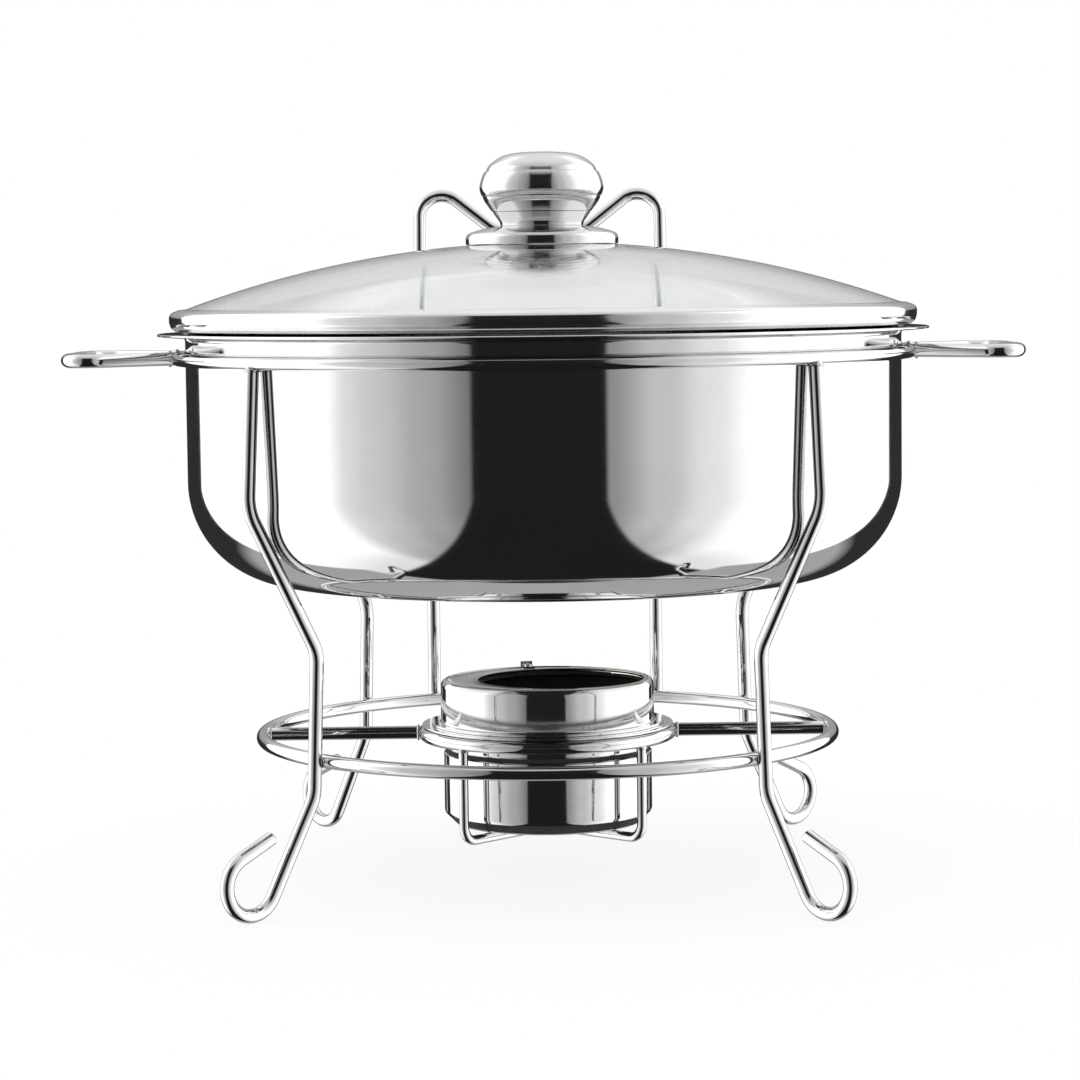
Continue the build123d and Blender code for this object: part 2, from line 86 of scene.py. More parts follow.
legs_turn = -2.6
leg_azimuths = {
    "leg_front_right": radians(legs_turn - 44.5),
    "leg_front_left": radians(legs_turn + 180 + 44.5),
    "leg_rear_right": radians(legs_turn + 46.9),
    "leg_rear_left": radians(legs_turn + 180 - 46.9),
}
leg_slope = radians(29.3)
leg_shoulder_r = 125.4
leg_r = lower_ring_r + 2 * wire_r - weld_sink
leg_lean = tan(radians(2.5))
shoulder_bend_r = 16.0
knee_bend_r = 13.0
ankle_slope = radians(29.9)
scroll_r = 9.6
scroll_centre_r = 126.8
scroll_tip_angle = radians(66.0)
scroll_tip = 13.6
cradle_azimuths = [radians(2.5 + turn) for turn in (-45, 45, 135, 225)]

handle_reach = high("handle_right").x - wire_r
handle_root = 11.0
handle_flare = 38.0
handle_flare_back = 4.0
handle_end = 18.0
handle_corner_r = 13.0
handle_flare_r = handle_corner_r / 2

holder_ring_r = ring_r + 2 * wire_r - weld_sink
holder_foot_x = 40.8
holder_x = high("lid_holder").x - wire_r
holder_back_z = 177.2    # where its uprights bend back behind the pot's flange
holder_clear_z = 183.9   # where they have cleared it
holder_clear_y = 125.4
holder_lean = tan(radians(16.5))
holder_shoulder_z = 242.3
holder_slope_x = 16.5
holder_slope_z = 219.5
holder_valley_z = 217.5
holder_step_bend_r = 4.0
holder_shoulder_bend_r = 8.5
holder_valley_bend_r = 12.0
cradle_bend_r = 5.0

lid_sphere_r = 349.0
lid_top_z = 213.8
glass_thick = 3.6
glass_r = high("lid_glass").x
glass_hole_r = 4.0
rim_r = high("lid_rim").x
rim_skirt_r = 118.4
rim_skirt_z = low("lid_rim").z
rim_sheet = 0.6
rim_lip = 3.8            # how far the band reaches in over the glass
rim_gap = 0.6            # between the band and the pot's flange
sphere_z = lid_top_z - lid_sphere_r

collar_r = high("knob_collar").x
collar_top_z = high("knob_collar").z
knob_r = high("knob_cap").x
knob_seam_r = high("knob_body").x
knob_seam_z = high("knob_body").z
knob_top_z = high("knob_cap").z
knob_neck_r = 13.9
knob_groove_rise = 4.9
knob_step_in = 1.65
knob_step_drop = 6.6
sheet = 0.8
screw_r = 2.5

cup_r = 35.3
cup_bottom_z = low("fuel_cup").z
cup_sheet = 0.7
cup_flange_r = high("fuel_cup").x
burner_seat_z = high("fuel_cup").z - cup_sheet
cover_r = 36.2
cover_top_z = high("burner_cover").z
recess_r = 34.4
recess_deep = 0.9
disc_low_z = low("regulator_disc").z
disc_top_z = high("regulator_disc").z
disc_play = 0.25
burner_mouth_r = 28.2
burner_mouth_x = 4.7
lever_azimuth = radians(102.2)
lever_wide = 4.0
lever_foot_r = 28.2
lever_upright_r = 32.6

# The camera's place, worked out for the object's own frame.
view_azimuth = radians(-0.26)
view_elevation = radians(4.57)
view_roll = radians(-0.67)
view_distance = 1.104
view_height = 0.1133
view_side = -0.00186
view_lens = 108.67


# ======== Outlines and paths
def rounded(points, radii, step=radians(5)):
    """The points as straight runs, with each inner corner turned into an arc of its radius."""
    points = [Vector(p) for p in points]
    if not hasattr(radii, "__len__"):
        radii = [radii] * (len(points) - 2)
    path = [points[0]]
    for before, corner, after, radius in zip(points, points[1:], points[2:], radii):
        back = (before - corner).normalized()
        ahead = (after - corner).normalized()
        half = back.angle(ahead) / 2
        if radius <= 0 or half > radians(89.9):
            path.append(corner)
            continue
        centre = corner + (back + ahead).normalized() * (radius / sin(half))
        start = corner + back * (radius / tan(half)) - centre
        end = corner + ahead * (radius / tan(half)) - centre
        turn = pi - 2 * half
        pieces = max(2, ceil(turn / step))
        for i in range(pieces + 1):
            share = i / pieces
            spoke = start * sin((1 - share) * turn) + end * sin(share * turn)
            path.append(centre + spoke / sin(turn))
    path.append(points[-1])
    return path


def closed_outline(points, radii):
    """A closed outline with every corner rounded; radii has one radius for each point."""
    points = [Vector(p) for p in points]
    middle = (points[0] + points[-1]) / 2
    loop = rounded([middle, *points, middle], radii)
    return loop[:-1]


def through(points, start=None, end=None, steps=8):
    """A smooth curve through the points; start and end are its directions there."""
    points = [Vector(p) for p in points]
    before = points[0] - (Vector(start) if start else points[1] - points[0])
    after = points[-1] + (Vector(end) if end else points[-1] - points[-2])
    around = [before, *points, after]
    curve = []
    for a, b, c, d in zip(around, around[1:], around[2:], around[3:]):
        for i in range(steps):
            t = i / steps
            square = (2 * a - 5 * b + 4 * c - d) * t**2
            cube = (3 * b - a - 3 * c + d) * t**3
            curve.append(0.5 * (2 * b + (c - a) * t + square + cube))
    return [*curve, points[-1]]


def arc(centre, radius, start, end, steps=24):
    """Points of a flat arc, by angle from start to end."""
    turns = [start + (end - start) * i / steps for i in range(steps + 1)]
    return [Vector((centre[0] + radius * cos(t), centre[1] + radius * sin(t))) for t in turns]


def upright(outline, azimuth):
    """Flat points (radius, height) stood up in the vertical plane at an azimuth."""
    return [Vector((p[0] * cos(azimuth), p[0] * sin(azimuth), p[1])) for p in outline]


def slope_height(radius):
    """Height at a radius of the wire slope that lies against the pot's bottom corner."""
    stand_off = pot_corner_r + wire_r + 0.3
    return corner_z - (stand_off - (radius - corner_x) * cos(leg_slope)) / sin(leg_slope)


def dome_height(radius, depth=0.0):
    """Height of the glass at a radius, on its outside or a depth below it."""
    return sphere_z + sqrt((lid_sphere_r - depth) ** 2 - radius**2)


def dome_arc(inner, outer, depth=0.0, steps=40):
    """Points along the dome from one radius to another."""
    radii = [inner + (outer - inner) * i / steps for i in range(steps + 1)]
    return [Vector((r, dome_height(r, depth))) for r in radii]


# ======== Meshes. Each maker returns (points in millimetres, faces), and piece() joins them to one object.
def lathe(outline, segments=192, closed=True):
    """Turn an outline of (radius, height) round the vertical axis."""
    points, faces, rows = [], [], []
    for radius, height in outline:
        if radius < 1e-6:
            rows.append([len(points)] * segments)
            points.append(Vector((0, 0, height)))
            continue
        rows.append(list(range(len(points), len(points) + segments)))
        for i in range(segments):
            turn = 2 * pi * i / segments
            points.append(Vector((radius * cos(turn), radius * sin(turn), height)))
    pairs = list(zip(rows, rows[1:]))
    if closed and rows[0][0] != rows[-1][0] and outline[0][0] > 1e-6:
        pairs.append((rows[-1], rows[0]))
    for a, b in pairs:
        for i in range(segments):
            j = (i + 1) % segments
            corners = [a[i], a[j], b[j], b[i]]
            face = [c for k, c in enumerate(corners) if c not in corners[:k]]
            if len(face) > 2:
                faces.append(face)
    return points, faces


def tube(path, radius, closed=False, sides=24, end_round=0.35):
    """A round wire along a path, with softly rounded ends."""
    path = [Vector(p) for p in path]
    path = [p for i, p in enumerate(path) if i == 0 or (p - path[i - 1]).length > 1e-4]
    count = len(path)
    tangents = []
    for i in range(count):
        before = path[i - 1] if closed or i else path[0]
        after = path[(i + 1) % count] if closed or i < count - 1 else path[-1]
        tangents.append((after - before).normalized())
    side = tangents[0].orthogonal().normalized()
    rings = []
    if not closed:
        rings.append((path[0], side, tangents[0], radius - end_round))
    for i in range(count):
        side = (side - tangents[i] * side.dot(tangents[i])).normalized()
        inset = 0.0
        if not closed and i == 0:
            inset = end_round
        elif not closed and i == count - 1:
            inset = -end_round
        rings.append((path[i] + tangents[i] * inset, side, tangents[i], radius))
    if not closed:
        rings.append((path[-1], side, tangents[-1], radius - end_round))
    points, faces = [], []
    for centre, across, along, size in rings:
        up = along.cross(across)
        for k in range(sides):
            turn = 2 * pi * k / sides
            points.append(centre + across * (size * cos(turn)) + up * (size * sin(turn)))
    spans = len(rings) if closed else len(rings) - 1
    for i in range(spans):
        a, b = i * sides, ((i + 1) % len(rings)) * sides
        for k in range(sides):
            n = (k + 1) % sides
            faces.append([a + k, a + n, b + n, b + k])
    if not closed:
        faces.append(list(range(sides)))
        faces.append(list(range(len(points) - sides, len(points))))
    return points, faces


def ring_path(radius, height, segments=240):
    turns = [2 * pi * i / segments for i in range(segments)]
    return [Vector((radius * cos(t), radius * sin(t), height)) for t in turns]


def plate(outer_r, hole_r, hole_x, low_z, high_z, segments=160, bevel=0.12):
    """A round plate with an off-centre round hole, its edges slightly broken."""
    loops = [
        (0.0, low_z + bevel), (0.0, high_z - bevel), (0.03, high_z), (0.97, high_z),
        (1.0, high_z - bevel), (1.0, low_z + bevel), (0.97, low_z), (0.03, low_z),
    ]
    points, faces = [], []
    for share, height in loops:
        for i in range(segments):
            turn = 2 * pi * i / segments
            outer = Vector((outer_r * cos(turn), outer_r * sin(turn), height))
            inner = Vector((hole_x + hole_r * cos(turn), hole_r * sin(turn), height))
            points.append(outer.lerp(inner, share))
    for row in range(len(loops)):
        a, b = row * segments, ((row + 1) % len(loops)) * segments
        for i in range(segments):
            j = (i + 1) % segments
            faces.append([a + i, a + j, b + j, b + i])
    return points, faces


def lump(centre, long_axis, sizes, seed, rings=10, sides=14):
    """A small uneven bead of weld metal: sizes are its half lengths along and across the axis."""
    along = Vector(long_axis).normalized()
    across = along.orthogonal().normalized()
    up = along.cross(across)
    points, faces = [], []
    for i in range(rings + 1):
        polar = pi * i / rings
        for k in range(sides):
            turn = 2 * pi * k / sides
            spoke = across * cos(turn) + up * sin(turn)
            way = along * cos(polar) * sizes[0] + spoke * sin(polar) * sizes[1]
            uneven = 1 + 0.16 * noise.noise(way * 0.9 + Vector((seed * 3.1, seed, 0)))
            points.append(Vector(centre) + way * uneven)
    for i in range(rings):
        for k in range(sides):
            n = (k + 1) % sides
            faces.append([i * sides + k, i * sides + n, (i + 1) * sides + n, (i + 1) * sides + k])
    return points, faces


def bead_ring(centre, axis, radius, thick, seed, segments=40, sides=10):
    """A narrow uneven ring of weld metal round the end of a wire."""
    along = Vector(axis).normalized()
    across = along.orthogonal().normalized()
    up = along.cross(across)
    path = []
    for i in range(segments):
        turn = 2 * pi * i / segments
        wobble = 1 + 0.10 * noise.noise(Vector((3 * cos(turn), 3 * sin(turn), seed * 2.3)))
        path.append(Vector(centre) + (across * cos(turn) + up * sin(turn)) * radius * wobble)
    return tube(path, thick, closed=True, sides=sides)


def piece(name, body, material, parts, replaces=(), sharp=radians(38)):
    """Join mesh parts into one smooth-shaded object that rides a body and stands for CAD nodes."""
    shape = bmesh.new()
    for points, faces in parts:
        corners = [shape.verts.new(p * MM) for p in points]
        for face in faces:
            shape.faces.new([corners[i] for i in face])
    bmesh.ops.remove_doubles(shape, verts=shape.verts, dist=1e-7)
    bmesh.ops.recalc_face_normals(shape, faces=shape.faces)
    for edge in shape.edges:
        edge.smooth = len(edge.link_faces) == 2 and edge.calc_face_angle(0) < sharp
    for face in shape.faces:
        face.smooth = True
    mesh = bpy.data.meshes.new(name)
    shape.to_mesh(mesh)
    shape.free()
    mesh.materials.append(material)
    thing = bpy.data.objects.new(name, mesh)
    bpy.context.scene.collection.objects.link(thing)
    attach(thing, body)
    if replaces:
        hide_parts(*replaces)
    return thing


# ======== Materials
class Nodes:
    """A short way to write the node tree of a material or of the world."""

    def __init__(self, owner):
        owner.use_nodes = True
        self.owner = owner
        self.tree = owner.node_tree
        self.shader = self.tree.nodes.get("Principled BSDF")

    def add(self, kind, **settings):
        node = self.tree.nodes.new(kind)
        for key, value in settings.items():
            setattr(node, key, value)
        return node

    def link(self, source, target):
        self.tree.links.new(source, target)

    def value(self, socket, number):
        self.shader.inputs[socket].default_value = number

    def maths(self, operation, a, b=None):
        node = self.add("ShaderNodeMath", operation=operation)
        for socket, given in zip(node.inputs, (a, b)):
            if given is None:
                continue
            if isinstance(given, (int, float)):
                socket.default_value = given
            else:
                self.link(given, socket)
        return node.outputs[0]

    def place(self):
        """The point on the object, in metres."""
        return self.add("ShaderNodeTexCoord").outputs["Object"]

    def turned(self, around=1.0, up=1.0, out=1.0):
        """Coordinates that follow a turned surface: angle, height and radius, each scaled."""
        split = self.add("ShaderNodeSeparateXYZ")
        self.link(self.place(), split.inputs[0])
        x, y, z = split.outputs
        squares = self.maths("ADD", self.maths("MULTIPLY", x, x), self.maths("MULTIPLY", y, y))
        radius = self.maths("SQRT", squares)
        turn = self.maths("ARCTAN2", y, x)
        join = self.add("ShaderNodeCombineXYZ")
        self.link(self.maths("MULTIPLY", turn, around), join.inputs[0])
        self.link(self.maths("MULTIPLY", z, up), join.inputs[1])
        self.link(self.maths("MULTIPLY", radius, out), join.inputs[2])
        return join.outputs[0]

    def noise(self, vector, scale, detail=3.0, roughness=0.5):
        node = self.add("ShaderNodeTexNoise")
        node.inputs["Scale"].default_value = scale
        node.inputs["Detail"].default_value = detail
        node.inputs["Roughness"].default_value = roughness
        self.link(vector, node.inputs["Vector"])
        return node.outputs["Fac"]

    def ranged(self, source, low_in, high_in, low_out, high_out, steps="LINEAR"):
        node = self.add("ShaderNodeMapRange", interpolation_type=steps)
        for socket, number in zip(node.inputs[1:5], (low_in, high_in, low_out, high_out)):
            socket.default_value = number
        self.link(source, node.inputs[0])
        return node.outputs[0]

    def blend(self, share, first, second):
        """A colour between two, by a share from 0 to 1."""
        node = self.add("ShaderNodeMix", data_type="RGBA")
        self.link(share, node.inputs["Factor"])
        for socket, colour in zip((node.inputs[6], node.inputs[7]), (first, second)):
            if isinstance(colour, tuple):
                socket.default_value = (*colour, 1.0)
            else:
                self.link(colour, socket)
        return node.outputs[2]

    def mixed(self, share, first, second):
        """Two shaders mixed by a share."""
        node = self.add("ShaderNodeMixShader")
        for source, socket in zip((share, first, second), node.inputs):
            self.link(source, socket)
        return node.outputs[0]

    def bump(self, height, strength, distance):
        node = self.add("ShaderNodeBump")
        node.inputs["Strength"].default_value = strength
        node.inputs["Distance"].default_value = distance
        self.link(height, node.inputs["Height"])
        self.link(node.outputs[0], self.shader.inputs["Normal"])


def polished(name, bright, dull, smooth, rough, marks, marks_around, marks_fine, bump):
    """Bright steel: fine marks left by turning, smudges in the gloss and a few darker spots.

    smooth and rough are the roughness of the clean and the smudged metal, and marks is what the turning
    marks add to it; marks_around and marks_fine stretch those marks round and across the part."""
    n = Nodes(bpy.data.materials.new(name))
    n.value("Metallic", 1.0)
    turned = n.turned(marks_around, marks_fine, marks_fine)
    lines = n.noise(turned, 1.0, 2.0)
    smudge = n.noise(n.place(), 28.0, 4.0, 0.6)
    speck = n.noise(n.place(), 420.0, 2.0)
    worn = n.maths("MULTIPLY", n.ranged(smudge, 0.35, 0.7, 0.0, 1.0), n.ranged(speck, 0.3, 0.7, 0.5, 1.0))
    n.link(n.blend(worn, bright, dull), n.shader.inputs["Base Color"])
    gloss = n.ranged(smudge, 0.3, 0.75, smooth, rough)
    gloss = n.maths("ADD", gloss, n.ranged(lines, 0.35, 0.75, 0.0, marks))
    n.link(gloss, n.shader.inputs["Roughness"])
    n.bump(lines, bump, 0.00002)
    return n


def make_wire_chrome():
    n = Nodes(bpy.data.materials.new("wire_chrome"))
    n.value("Metallic", 1.0)
    place = n.place()
    cloud = n.noise(place, 60.0, 3.0)
    pits = n.noise(place, 1900.0, 2.0)
    tint = n.ranged(cloud, 0.3, 0.75, 0.0, 1.0)
    n.link(n.blend(tint, (0.74, 0.745, 0.75), (0.62, 0.625, 0.64)), n.shader.inputs["Base Color"])
    gloss = n.ranged(cloud, 0.3, 0.7, 0.035, 0.09)
    gloss = n.maths("ADD", gloss, n.ranged(pits, 0.62, 0.8, 0.0, 0.16))
    n.link(gloss, n.shader.inputs["Roughness"])
    n.bump(n.maths("ADD", n.noise(place, 260.0, 2.0), n.ranged(pits, 0.6, 0.8, 0.0, 0.4)), 0.06, 0.00006)
    return n.owner


def make_weld_chrome():
    n = Nodes(bpy.data.materials.new("weld_chrome"))
    n.value("Metallic", 1.0)
    place = n.place()
    grain = n.noise(place, 900.0, 3.0)
    n.link(n.blend(grain, (0.80, 0.79, 0.78), (0.50, 0.49, 0.48)), n.shader.inputs["Base Color"])
    n.link(n.ranged(grain, 0.3, 0.7, 0.12, 0.32), n.shader.inputs["Roughness"])
    n.bump(grain, 0.35, 0.0002)
    return n.owner


def make_pot_steel():
    n = polished(
        "pot_steel", (0.80, 0.80, 0.80), (0.74, 0.74, 0.745),
        smooth=0.025, rough=0.06, marks=0.035, marks_around=2.0, marks_fine=6000.0, bump=0.012,
    )
    return n.owner


def make_rim_steel():
    n = polished(
        "rim_steel", (0.80, 0.80, 0.80), (0.70, 0.70, 0.71),
        smooth=0.04, rough=0.09, marks=0.05, marks_around=2.0, marks_fine=7000.0, bump=0.02,
    )
    return n.owner


def make_knob_steel():
    n = polished(
        "knob_steel", (0.70, 0.70, 0.70), (0.60, 0.60, 0.61),
        smooth=0.06, rough=0.10, marks=0.05, marks_around=1.2, marks_fine=9000.0, bump=0.08,
    )
    return n.owner


def make_burner_steel():
    """Bright outside; painted shade inside the cup and the drum: near-black, duller and barely metallic."""
    n = polished(
        "burner_steel", (0.78, 0.78, 0.79), (0.66, 0.66, 0.67),
        smooth=0.03, rough=0.07, marks=0.04, marks_around=1.5, marks_fine=5000.0, bump=0.02,
    )
    colour = n.shader.inputs["Base Color"]
    steel = colour.links[0].from_socket
    gloss = n.shader.inputs["Roughness"].links[0].from_socket
    split = n.add("ShaderNodeSeparateXYZ")
    n.link(n.turned(), split.inputs[0])
    height, radius = split.outputs[1], split.outputs[2]
    drum_z = (burner_seat_z + cup_sheet) * MM
    in_cup_r = (cup_r - cup_sheet / 2) * MM
    in_drum_r = (cover_r - sheet / 2) * MM
    inner_r = n.ranged(height, drum_z - 0.0001, drum_z + 0.0001, in_cup_r, in_drum_r)
    # painted shade: this mask picks the inside walls of the cup and the drum, between the cup's floor and the
    # drum's top
    inside = n.maths("LESS_THAN", radius, inner_r)
    above = n.maths("GREATER_THAN", height, (cup_bottom_z + 0.65) * MM)
    below = n.maths("LESS_THAN", height, (cover_top_z - recess_deep - sheet / 2) * MM)
    sooty_and_painted_shade = n.maths("MULTIPLY", inside, n.maths("MULTIPLY", above, below))
    # painted shade: the inside is coloured near-black with uneven flecks, made rougher and almost unmetallic,
    # standing for the darkness seen down the mouth
    painted_shade_flecks = n.noise(n.place(), 300.0, 4.0, 0.6)
    soot_and_painted_shade = n.blend(painted_shade_flecks, (0.008, 0.008, 0.008), (0.035, 0.032, 0.030))
    n.link(n.blend(sooty_and_painted_shade, steel, soot_and_painted_shade), colour)
    dull = n.maths("MAXIMUM", gloss, n.maths("MULTIPLY", sooty_and_painted_shade, 0.75))
    n.link(dull, n.shader.inputs["Roughness"])
    n.link(n.ranged(sooty_and_painted_shade, 0.0, 1.0, 1.0, 0.1), n.shader.inputs["Metallic"])
    return n.owner


def make_regulator_steel():
    """Bright steel that the flame has tinted brown round the mouth."""
    n = polished(
        "regulator_steel", (0.76, 0.76, 0.77), (0.60, 0.60, 0.61),
        smooth=0.07, rough=0.16, marks=0.06, marks_around=1.5, marks_fine=5000.0, bump=0.03,
    )
    shader_colour = n.shader.inputs["Base Color"]
    steel = shader_colour.links[0].from_socket
    split = n.add("ShaderNodeSeparateXYZ")
    n.link(n.place(), split.inputs[0])
    x = n.maths("SUBTRACT", split.outputs[0], burner_mouth_x * MM)
    y = split.outputs[1]
    reach = n.maths("SQRT", n.maths("ADD", n.maths("MULTIPLY", x, x), n.maths("MULTIPLY", y, y)))
    uneven = n.maths("MULTIPLY", n.noise(n.place(), 90.0, 3.0), 0.0025)
    mouth = burner_mouth_r * MM
    edge = n.ranged(n.maths("ADD", reach, uneven), mouth + 0.0008, mouth + 0.0042, 1.0, 0.0)
    heat = n.blend(edge, steel, (0.42, 0.33, 0.22))
    n.link(heat, shader_colour)
    return n.owner


def make_lid_glass():
    n = Nodes(bpy.data.materials.new("lid_glass"))
    n.value("Base Color", (0.955, 0.975, 0.968, 1.0))
    n.value("Transmission Weight", 1.0)
    n.value("IOR", 1.5)
    smear = n.noise(n.place(), 22.0, 4.0, 0.6)
    n.link(n.ranged(smear, 0.35, 0.75, 0.0, 0.035), n.shader.inputs["Roughness"])
    n.bump(n.noise(n.place(), 9.0, 2.0), 0.03, 0.0004)
    return n.owner


def make_gasket_rubber():
    n = Nodes(bpy.data.materials.new("gasket_rubber"))
    grain = n.noise(n.place(), 700.0, 3.0)
    n.link(n.blend(grain, (0.80, 0.81, 0.80), (0.66, 0.67, 0.66)), n.shader.inputs["Base Color"])
    n.link(n.ranged(grain, 0.3, 0.7, 0.38, 0.55), n.shader.inputs["Roughness"])
    n.value("Subsurface Weight", 0.2)
    n.value("Subsurface Scale", 0.002)
    n.bump(grain, 0.15, 0.0001)
    return n.owner


def make_insert_plastic():
    n = Nodes(bpy.data.materials.new("insert_plastic"))
    grain = n.noise(n.place(), 1200.0, 3.0)
    n.link(n.blend(grain, (0.022, 0.022, 0.023), (0.040, 0.040, 0.041)), n.shader.inputs["Base Color"])
    n.link(n.ranged(grain, 0.3, 0.7, 0.42, 0.6), n.shader.inputs["Roughness"])
    n.bump(grain, 0.2, 0.0001)
    return n.owner


def make_screw_steel():
    n = polished(
        "screw_steel", (0.66, 0.66, 0.67), (0.52, 0.52, 0.53),
        smooth=0.16, rough=0.26, marks=0.08, marks_around=1.0, marks_fine=9000.0, bump=0.06,
    )
    return n.owner


def make_wick_fibre():
    n = Nodes(bpy.data.materials.new("wick_fibre"))
    place = n.place()
    tangle = n.noise(place, 520.0, 6.0, 0.7)
    soot_and_painted_shade = n.noise(place, 70.0, 3.0)
    fibre = n.blend(n.ranged(tangle, 0.35, 0.65, 0.0, 1.0), (0.030, 0.027, 0.024), (0.16, 0.14, 0.12))
    sooty_and_painted_shade = n.blend(n.ranged(soot_and_painted_shade, 0.4, 0.7, 0.0, 0.8), fibre, (0.012, 0.011, 0.010))
    n.link(sooty_and_painted_shade, n.shader.inputs["Base Color"])
    n.link(n.ranged(tangle, 0.3, 0.7, 0.85, 1.0), n.shader.inputs["Roughness"])
    n.value("Sheen Weight", 0.2)
    n.bump(tangle, 0.9, 0.0008)
    return n.owner


wire_chrome = make_wire_chrome()
weld_chrome = make_weld_chrome()
pot_steel = make_pot_steel()
rim_steel = make_rim_steel()
knob_steel = make_knob_steel()
burner_steel = make_burner_steel()
regulator_steel = make_regulator_steel()
glass = make_lid_glass()
gasket_rubber = make_gasket_rubber()
insert_plastic = make_insert_plastic()
screw_steel = make_screw_steel()
wick_fibre = make_wick_fibre()


# ======== Stand
def leg_outline():
    """The leg's line as (radius, height), from under the upper ring to the tip of its scroll."""
    slope = tan(leg_slope)
    knee_rise = (slope_height(leg_r) - lower_ring_z) * slope / (slope + leg_lean)
    scroll_z = scroll_r + wire_r
    touch_r = scroll_centre_r - scroll_r * cos(ankle_slope)
    touch_z = scroll_z - scroll_r * sin(ankle_slope)
    ankle = tan(ankle_slope)
    ankle_drop = (touch_r - leg_r - (lower_ring_z - touch_z) * ankle) / (leg_lean - ankle)
    corners = [
        (ring_r, ring_z - butt_gap),
        (leg_shoulder_r, slope_height(leg_shoulder_r)),
        (leg_r - knee_rise * leg_lean, lower_ring_z + knee_rise),
        (leg_r + ankle_drop * leg_lean, lower_ring_z - ankle_drop),
        (touch_r, touch_z),
    ]
    straight = rounded(corners, [shoulder_bend_r, knee_bend_r, knee_bend_r])
    scroll = arc((scroll_centre_r, scroll_z), scroll_r, pi + ankle_slope, 2 * pi + scroll_tip_angle, 48)
    heading = Vector((-sin(scroll_tip_angle), cos(scroll_tip_angle)))
    return [*straight, *scroll[1:], scroll[-1] + heading * scroll_tip]


def wire_piece(node, part):
    """One bent wire of the stand, in place of its CAD node."""
    piece(f"{node}_wire", "stand", wire_chrome, [part], [node])


def build_rings():
    for node, radius, height in (
        ("upper_ring", ring_r, ring_z),
        ("lower_ring", lower_ring_r, lower_ring_z),
        ("burner_ring", burner_ring_r, lower_ring_z),
    ):
        wire_piece(node, tube(ring_path(radius, height), wire_r, closed=True))


def build_legs():
    outline = leg_outline()
    for node, azimuth in leg_azimuths.items():
        wire_piece(node, tube(upright(outline, azimuth), wire_r))


def build_handles():
    root_x = sqrt((ring_r + butt_gap) ** 2 - handle_root**2)
    flare_x = handle_reach - handle_flare_back
    for node, side in (("handle_right", 1), ("handle_left", -1)):
        corners = [
            (root_x, -handle_root),
            (flare_x, -handle_flare),
            (handle_reach, -handle_end),
            (handle_reach, handle_end),
            (flare_x, handle_flare),
            (root_x, handle_root),
        ]
        line = [Vector((side * x, y, ring_z)) for x, y in corners]
        radii = [handle_flare_r, handle_corner_r, handle_corner_r, handle_flare_r]
        wire_piece(node, tube(rounded(line, radii), wire_r))


def holder_path():
    """The lid holder's line: up behind the pot, back behind the flange, over and down to the valley."""
    foot_y = sqrt(leg_r**2 - holder_foot_x**2)
    ring_y = sqrt(holder_ring_r**2 - holder_x**2)

    def lean_y(height):
        return holder_clear_y + (height - holder_clear_z) * holder_lean

    right_half = [
        (holder_foot_x, foot_y, lower_ring_z - wire_r),
        (holder_foot_x, foot_y, slope_height(leg_r)),
        (holder_x, ring_y, slope_height(holder_ring_r)),
        (holder_x, ring_y, holder_back_z),
        (holder_x, holder_clear_y, holder_clear_z),
        (holder_x, lean_y(holder_shoulder_z), holder_shoulder_z),
        (holder_slope_x, lean_y(holder_slope_z), holder_slope_z),
    ]
    valley = (0, lean_y(holder_valley_z), holder_valley_z)
    left_half = [(-x, y, z) for x, y, z in reversed(right_half)]
    half_radii = [
        knee_bend_r, shoulder_bend_r, holder_step_bend_r, holder_step_bend_r, holder_shoulder_bend_r,
        holder_valley_bend_r,
    ]
    radii = [*half_radii, holder_valley_bend_r, *reversed(half_radii)]
    return rounded([*right_half, valley, *left_half], radii)


def build_lid_holder():
    wire_piece("lid_holder", tube(holder_path(), wire_r))


def build_burner_bars():
    inner = burner_ring_r + butt_gap
    outer = lower_ring_r - butt_gap
    for node, side in (("burner_bar_right", 1), ("burner_bar_left", -1)):
        line = [Vector((side * inner, 0, lower_ring_z)), Vector((side * outer, 0, lower_ring_z))]
        wire_piece(node, tube(line, wire_r))


def build_cradle():
    """Two crossed thin wires under the burner: one whole, and one in two halves welded to it."""
    floor_z = low("cradle_wire").z + thin_wire_r
    top_z = lower_ring_z - butt_gap
    whole = [
        (-burner_ring_r, top_z),
        (-burner_ring_r, floor_z),
        (burner_ring_r, floor_z),
        (burner_ring_r, top_z),
    ]
    line = upright(rounded(whole, cradle_bend_r), cradle_azimuths[0])
    wire = tube(line, thin_wire_r)
    piece("cradle_wire_bent", "stand", wire_chrome, [wire], ["cradle_wire"])
    half = rounded([(burner_ring_r, top_z), (burner_ring_r, floor_z), (butt_gap, floor_z)], cradle_bend_r)
    halves = [tube(upright(half, azimuth), thin_wire_r) for azimuth in cradle_azimuths[1::2]]
    piece("cradle_side_wires_bent", "stand", wire_chrome, halves, ["cradle_side_wires"])


def crossing_weld(ring_radius, height, way, seed):
    """The bead between a ring and a wire that passes outside it, in the level direction of the wire."""
    reach = ring_radius + wire_r - weld_bite
    return lump(way.normalized() * reach + Vector((0, 0, height)), way, crossing_weld_sizes, seed)


def leg_welds():
    parts = []
    for i, azimuth in enumerate(leg_azimuths.values()):
        out = Vector((cos(azimuth), sin(azimuth), 0))
        top = out * ring_r + Vector((0, 0, ring_z - wire_r - weld_bite))
        parts.append(bead_ring(top, (0, 0, 1), wire_r, butt_weld_thick, i))
        parts.append(crossing_weld(lower_ring_r, lower_ring_z, out, 10 + i))
    return parts


